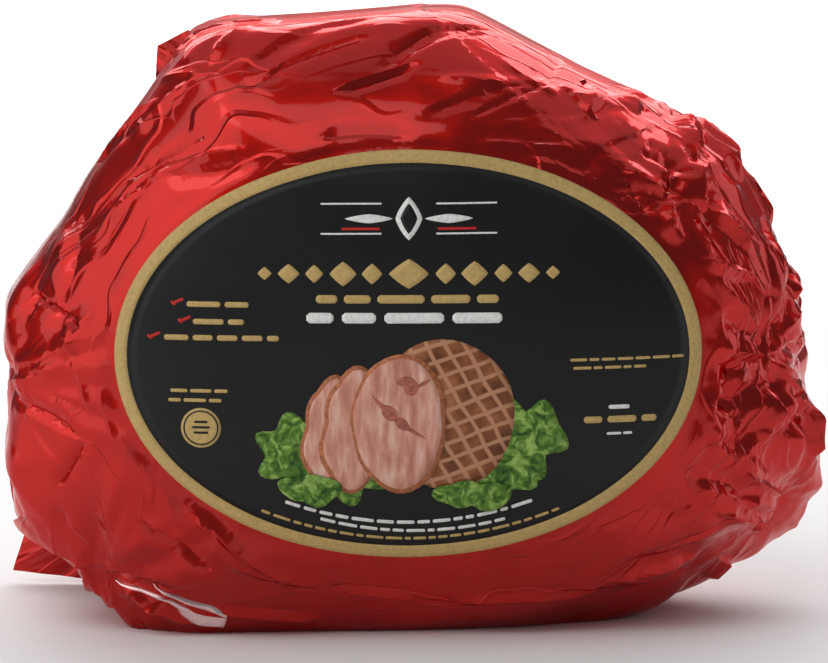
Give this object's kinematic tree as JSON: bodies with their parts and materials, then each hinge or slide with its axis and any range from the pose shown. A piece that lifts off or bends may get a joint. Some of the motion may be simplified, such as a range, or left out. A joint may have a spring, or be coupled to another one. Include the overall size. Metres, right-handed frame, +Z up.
{
  "type": "foil-wrapped ham",
  "caption": "Shut red foil pack of a whole-muscle ham, standing on its flattened lower side, with a plain oval label on the front.",
  "frame": {"origin": "middle of the pack's outline on the surface that it stands on", "axes": "+Z up, +X along the pack to its gathered narrow end, and the label faces -Y"},
  "size_m": [0.2762, 0.1538, 0.2],
  "materials": {
    "red_foil": "gloss",
    "label_black": "satin",
    "label_gold": "satin"
  },
  "bodies": {
    "root": {"foil_wrap": "red_foil", "label_field": "label_black", "label_band": "label_gold"}
  },
  "joints": []
}
